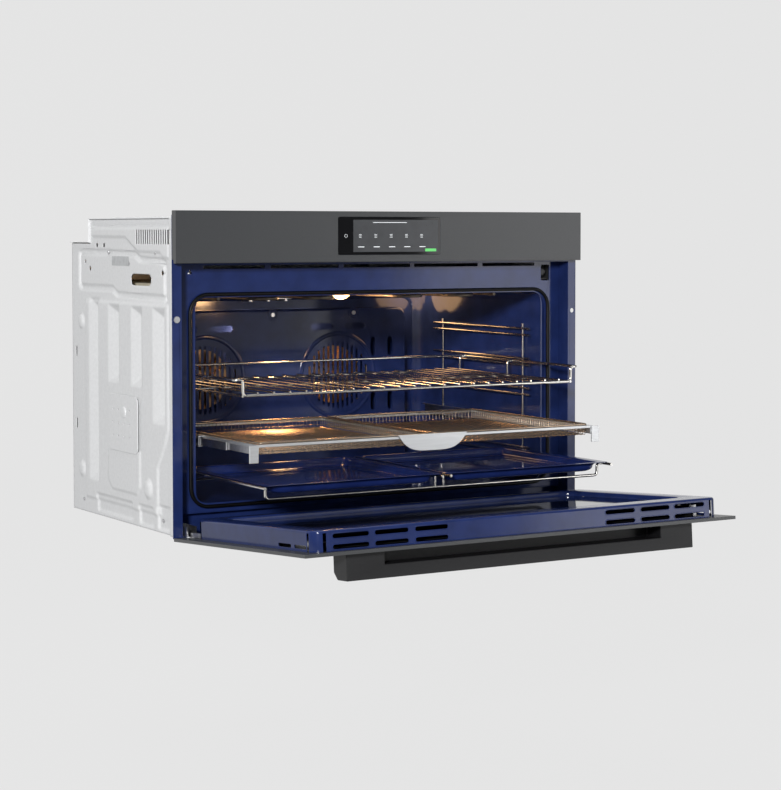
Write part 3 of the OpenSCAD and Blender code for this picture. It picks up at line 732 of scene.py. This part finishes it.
def door_inside():
    """The pressed liner, with slotted walls and a recessed window."""
    half = limits("door_liner")[0][1]
    # heights and depths on the closed door, with the housing's front at y = 0
    z = (38, 484.7)
    foot, face = -12.9, 22.5
    corner, lip = 24, 4.5
    window_half, window_z, window_corner = 385, (66, 430), 28
    # how far the window's edge is from its final outline, and how deep, from the face inwards
    window_edge = ((3, 0), (1, 0.8), (0, 3), (0, 9.9))
    slot_half = 4.5
    b = Build()
    rings = [upright_ring(half, z, corner, y) for y in (foot, face - lip)]
    for k in range(1, 6):
        a = math.radians(18 * k)
        inset = lip * (1 - math.cos(a))
        rings.append(upright_ring(half - inset, (z[0] + inset, z[1] - inset), corner - inset,
                                  face - lip + lip * math.sin(a)))
    for grow, depth in window_edge:
        rings.append(upright_ring(window_half + grow, (window_z[0] - grow, window_z[1] + grow),
                                  window_corner + grow, face - depth))

    def keep(middle, k):
        on_wall = k == 0 and (middle[2] > z[1] - 0.5 or abs(middle[0]) > half - 0.5)
        return not on_wall

    b.loft(rings, keep=keep)
    end_slots = [slot(sorted((side * p, side * q)), (y - slot_half, y + slot_half), 4)
                 for y in (-6, 12) for p, q in ((164, 230), (242, 308), (318, 388))
                 for side in SIDES]
    b.plate([(-half + corner, foot), (half - corner, foot), (half - corner, face - lip),
             (-half + corner, face - lip)],
            end_slots, lambda u, v, t: (u, v, z[1] - t), SHEET)
    side_slots = [slot((-8.5, -2.5), ends, 4) for ends in ((360, 406), (417, 460))]
    for side in SIDES:
        b.plate([(foot, z[0] + corner), (face - lip, z[0] + corner),
                 (face - lip, z[1] - corner), (foot, z[1] - corner)],
                side_slots, lambda u, v, t, side=side: (side * (half - t), u, v), SHEET)
    for outline in end_slots:
        b.tube([(u, v, z[1]) for u, v in outline], 0.9, 6, closed=True)
    open_door(b.make("liner_pressing", enamel, "door", ("door_liner",)))


door_inside()


# --- racks ---

# levels of the ladder rungs that carry the shelf and the trays
SHELF_LEVEL = 295
TRAY_LEVEL = 112
WIRE_RADIUS = 2.8


def shelf_wires():
    """The outer wires of the shelf: side rails, posts, and the bars in front and behind."""
    x, y, z = limits("wire_shelf_frame")
    low, rail = z[0] + WIRE_RADIUS, SHELF_LEVEL
    rail_x, post_x = x[1] - WIRE_RADIUS, 359
    middle_post = 224
    front, back = y[0] + 3, y[1] - 3
    b = Build()
    b.tube([(-rail_x, back + 3, rail), (-rail_x, front, rail), (-post_x, front, rail),
            (-post_x, front, low), (post_x, front, low), (post_x, front, rail),
            (rail_x, front, rail), (rail_x, back + 3, rail)], WIRE_RADIUS, 12, bend=9)
    b.tube([(-rail_x, back, rail), (-rail_x, back, rail + 2), (rail_x, back, rail + 2),
            (rail_x, back, rail)], 2.6, 10, bend=4)
    b.tube([(-post_x, back, low), (post_x, back, low)], 2.6, 10)
    for side in SIDES:
        b.tube([(side * post_x, front, low), (side * post_x, back, low)], 2.4, 10)
        for post_y in (front + middle_post, back):
            b.tube([(side * rail_x, post_y, rail), (side * post_x, post_y, rail),
                    (side * post_x, post_y, low)], 2.5, 10, bend=6)
    b.make("shelf_outer_wires", chrome, "wire_shelf", ("wire_shelf_frame",), 60)


def tray_wires():
    """The carrier of the trays: cross wires that drop between the posts, and four rails."""
    x, y, z = limits("tray_carrier")
    low, rail = z[0] + WIRE_RADIUS, TRAY_LEVEL
    rail_x, post_x, middle_x = x[1] - WIRE_RADIUS, 359.6, 9
    front, back = y[0] + 28, y[1] - 4
    b = Build()
    for wire_y in (front, back):
        b.tube([(-rail_x, wire_y, rail), (-post_x, wire_y, rail), (-post_x, wire_y, low),
                (post_x, wire_y, low), (post_x, wire_y, rail), (rail_x, wire_y, rail)],
               WIRE_RADIUS, 12, bend=8)
    for side in SIDES:
        b.tube([(side * rail_x, y[0], rail), (side * rail_x, y[1], rail)], WIRE_RADIUS, 12)
        b.tube([(side * middle_x, y[0], rail), (side * middle_x, y[1], rail)], 2.6, 10)
        for wire_y in (front, back):
            b.tube([(side * middle_x, wire_y, low), (side * middle_x, wire_y, rail)], 2.4, 10)
    b.make("tray_carrier_wires", chrome, "tray_carriage", ("tray_carrier",), 60)


shelf_wires()
tray_wires()


def tray_pan(name, node, body):
    """A shallow enamelled pan with a rolled rim and soft inside corners."""
    x, y, z = limits(node)
    # the side towards the rail is drawn in further, to clear the carrier's posts
    wide = 1.7
    left_share, right_share = (1, wide) if x[0] > 0 else (wide, 1)

    def ring(inset, radius, level):
        return flat_ring((x[0] + inset * left_share, x[1] - inset * right_share),
                         (y[0] + inset * 0.8, y[1] - inset), radius, level)

    # inset from the rim's outer edge and drop below its top
    rim = ((0.6, 1.0), (0, 0.7), (0.6, 0.4), (2.5, 0.4), (9, 0.5), (11, 1.4), (13, 4))
    rings = [ring(inset, 8 + inset * 0.5, z[1] - drop) for inset, drop in rim]
    for k in range(6):
        a = math.radians(18 * k)
        rings.append(ring(14 + 9 * (1 - math.cos(a)), 15, z[0] + 1.5 + 9 * (1 - math.sin(a))))
    b = Build()
    b.loft(rings, cap_last=True)
    thicken(b.make(name, tray_enamel, body, (node,)), 0.8, 0)


tray_pan("right_tray_pan", "tray_right", "right_tray")
tray_pan("left_tray_pan", "tray_left", "left_tray")


def woven_basket(name, node, body):
    """A tray of crossing wires that pass over and under each other, with a wire rim."""
    x, y, z = limits(node)
    pitch, wire = 8.0, 0.55
    floor = z[0] + 1.4
    wall = 3.5
    towards_middle, towards_rail = wall + 2, wall + 7
    insets = (towards_middle, towards_rail) if x[0] > 0 else (towards_rail, towards_middle)
    xs = grid_lines(x[0] + insets[0], x[1] - insets[1], pitch)
    ys = grid_lines(y[0] + wall + 4, y[1] - wall - 4, pitch)
    b = Build()
    for i, p in enumerate(xs):
        path = [(p, ys[0] - 3, z[1] - 2), (p, ys[0] - 2, floor + 3)]
        path += [(p, q, floor + wire * (-1) ** (i + j)) for j, q in enumerate(ys)]
        path += [(p, ys[-1] + 2, floor + 3), (p, ys[-1] + 3, z[1] - 2)]
        b.tube(path, wire, 4)
    for j, q in enumerate(ys):
        path = [(xs[0] - 3, q, z[1] - 2), (xs[0] - 2, q, floor + 3)]
        path += [(p, q, floor - wire * (-1) ** (i + j)) for i, p in enumerate(xs)]
        path += [(xs[-1] + 2, q, floor + 3), (xs[-1] + 3, q, z[1] - 2)]
        b.tube(path, wire, 4)
    edge_x, edge_y = (xs[0] - 3, xs[-1] + 3), (ys[0] - 3, ys[-1] + 3)
    for level in np.arange(floor + 5, z[1] - 3, pitch):
        b.tube([(p, q, level) for p, q in rounded(edge_x, edge_y, 6, 3)], wire, 4, closed=True)
    b.tube([(p, q, z[1] - 2) for p, q in rounded(edge_x, edge_y, 7, 4)], 1.9, 8, closed=True)
    b.make(name, woven, body, (node,), 60)


woven_basket("left_woven_basket", "basket_left", "left_basket")
woven_basket("right_woven_basket", "basket_right", "right_basket")


def handle_plate():
    """The plain plate that a hand pulls the carriage by, with a curved lower edge."""
    x, y, z = limits("basket_handle_plate")
    half, tall = x[1], z[1] - z[0]
    steps = 24
    lower = []
    for i in range(steps + 1):
        u = half * (2 * i / steps - 1)
        lower.append((u, z[0] + tall * abs(u / half) ** 4))
    outline = lower[1:-1] + [(half, z[1] - 0.5), (-half, z[1] - 0.5)]
    b = Build()
    b.plate(outline, [], lambda u, v, t: (u, y[0] + t, v), y[1] - y[0])
    b.make("basket_grip_plate", brushed, "basket_carriage", ("basket_handle_plate",))


handle_plate()

# --- edges of the pieces kept from the frame ---

EDGE_RADII = (("fascia_panel", 0.9), ("front_frame", 0.7), ("frame_face", 0.4),
              ("door_outer_panel", 0.8), ("door_handle", 1.4), ("display_glass", 0.5),
              ("basket_carriage_frame", 1.2), ("top_cover", 0.6), ("hinge_receivers", 0.4),
              ("hinge_arms", 0.6))
for o in nodes.values():
    if not o.hide_render:
        weld = o.modifiers.new("join", "WELD")
        weld.merge_threshold = 0.01 * MM
for node, width in EDGE_RADII:
    soften(nodes[node], width, 40)


# --- display ---

def screen():
    """A lit screen of plain marks without lettering: bars, one green key and a ring."""
    x, y, z = limits("display_glass")
    front = y[0] - 0.02
    middle = (z[0] + z[1]) / 2
    glow_white = glowing("screen_white", (0.75, 0.78, 0.8), 0.7)
    glow_green = glowing("screen_green", (0.08, 0.42, 0.10), 0.8)
    glow_grey = glowing("screen_field", (0.022, 0.024, 0.028), 0.25)

    def patch(b, u, v, lift=0.0):
        b.plate(rounded(u, v, 0.8, 2), [], lambda p, q, t: (p, front - lift - t, q), 0.04)

    field = Build()
    patch(field, (x[0] + 32, x[1] - 5), (z[0] + 5, z[1] - 5))
    field.make("screen_field", glow_grey, "housing")
    marks = Build()
    for column in range(5):
        left = x[0] + 44 + 34 * column
        for row in range(3):
            patch(marks, (left, left + 6), (middle + 2.6 * row - 3, middle + 2.6 * row - 2.3), 0.05)
        patch(marks, (left - 2, left + 12), (z[0] + 14, z[0] + 15.2), 0.05)
    patch(marks, (x[0] + 75, x[1] - 75), (z[1] - 10.5, z[1] - 9.6), 0.05)
    marks.make("screen_marks", glow_white, "housing")
    key = Build()
    patch(key, (x[1] - 34, x[1] - 9), (z[0] + 5.5, z[0] + 11), 0.05)
    key.make("screen_key", glow_green, "housing")
    ring = Build()
    ring.tube([(x[0] + 16 + 3 * math.cos(a), front - 0.1, middle + 3 * math.sin(a))
               for a in (math.tau * k / 20 for k in range(20))], 0.25, 6, closed=True)
    ring.make("screen_power_ring", glow_white, "housing")


screen()

# --- stage, light and camera ---

def backdrop():
    """A floor that curves up into a wall, well below and behind the oven."""
    floor_z, near, far, width, bend, top = -450, -18000, 6000, 18000, 1500, 9000
    rings = [[(-width, near, floor_z), (width, near, floor_z)]]
    rings.append([(-width, far - bend, floor_z), (width, far - bend, floor_z)])
    for k in range(1, 13):
        a = math.radians(7.5 * k)
        y, z = far - bend + bend * math.sin(a), floor_z + bend * (1 - math.cos(a))
        rings.append([(-width, y, z), (width, y, z)])
    rings.append([(-width, far, top), (width, far, top)])
    points = [tuple(c * MM for c in p) for ring in rings for p in ring]
    faces = [(2 * i, 2 * i + 1, 2 * i + 3, 2 * i + 2) for i in range(len(rings) - 1)]
    mesh = bpy.data.meshes.new("backdrop")
    mesh.from_pydata(points, [], faces)
    mesh.shade_smooth()
    o = bpy.data.objects.new("backdrop", mesh)
    bpy.context.collection.objects.link(o)
    o.visible_diffuse = False
    paper = surface("backdrop_paper", (0.03, 0.03, 0.03), 0.9, vary=0.01, grain=3, bump=0.02)
    shader = paper.node_tree.nodes["Principled BSDF"]
    socket(shader, "Emission Color", (1, 1, 1, 1))
    socket(shader, "Emission Strength", 0.765)
    socket(shader, "Specular IOR Level", 0.0)
    mesh.materials.append(paper)


backdrop()


def add_light(name, place, target, size, power):
    """A white rectangular light that faces the target; places are in metres."""
    data = bpy.data.lights.new(name, "AREA")
    data.shape = "RECTANGLE"
    data.size, data.size_y = size
    data.energy = power
    o = bpy.data.objects.new(name, data)
    o.location = place
    o.rotation_euler = (Vector(target) - Vector(place)).to_track_quat("-Z", "Y").to_euler()
    bpy.context.collection.objects.link(o)


def add_lamp(name, place, power, radius, in_gloss=True):
    """A warm oven lamp; its place is in millimetres and its radius in metres."""
    data = bpy.data.lights.new(name, "POINT")
    data.energy = power
    data.color = (1.0, 0.58, 0.27)
    data.shadow_soft_size = radius
    o = bpy.data.objects.new(name, data)
    o.location = [c * MM for c in place]
    o.visible_camera = False
    o.visible_glossy = in_gloss
    bpy.context.collection.objects.link(o)


add_light("side_key", (-3.7, -4.2, 1.8), (-0.425, 0.25, 0.3), (0.7, 0.7), 300)
add_light("right_softbox", (4.4, -5.0, 0.8), (0.2, 0, 0.4), (2.2, 3.0), 70)
add_light("top_softbox", (0, 0.5, 3.4), (0, 0.2, 0.3), (3.2, 2.4), 45)
add_lamp("cavity_lamp", (0, 175, 418), 1.8, 0.025)
for side, word in zip(SIDES, ("left", "right")):
    add_lamp("roof_lamp_" + word, (side * 345, 462, 424), 0.8, 0.06)
    add_lamp("fan_lamp_" + word, (side * (fan_x - 100), 484, fan_z + 92), 1.8, 0.02, False)

world = bpy.data.worlds.new("studio")
bpy.context.scene.world = world
world.use_nodes = True
world.node_tree.nodes["Background"].inputs["Color"].default_value = (0.8, 0.81, 0.83, 1)
world.node_tree.nodes["Background"].inputs["Strength"].default_value = 0.26

# the photo's camera, solved from the straight edges of the flange, the housing and the door
camera = bpy.data.cameras.new("camera")
camera.sensor_width = 36
camera.lens = 96.26
camera.shift_x = -0.0586
camera.shift_y = -0.0948
camera.clip_end = 50
eye = bpy.data.objects.new("camera", camera)
eye.location = (-2.0514, -3.4987, 0.5606)
eye.rotation_euler = (math.radians(90 - 2.40), 0, math.radians(-31.79))
bpy.context.collection.objects.link(eye)
bpy.context.scene.camera = eye
bpy.context.scene.view_settings.view_transform = "Standard"

bpy.context.view_layer.update()
low = Vector((1e9, 1e9, 1e9))
high = -low
graph = bpy.context.evaluated_depsgraph_get()
for o in bpy.data.objects:
    if o.type == "MESH" and not o.hide_render and "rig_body" in o:
        shape = o.evaluated_get(graph)
        for corner in shape.bound_box:
            point = shape.matrix_world @ Vector(corner)
            low = Vector(map(min, low, point))
            high = Vector(map(max, high, point))
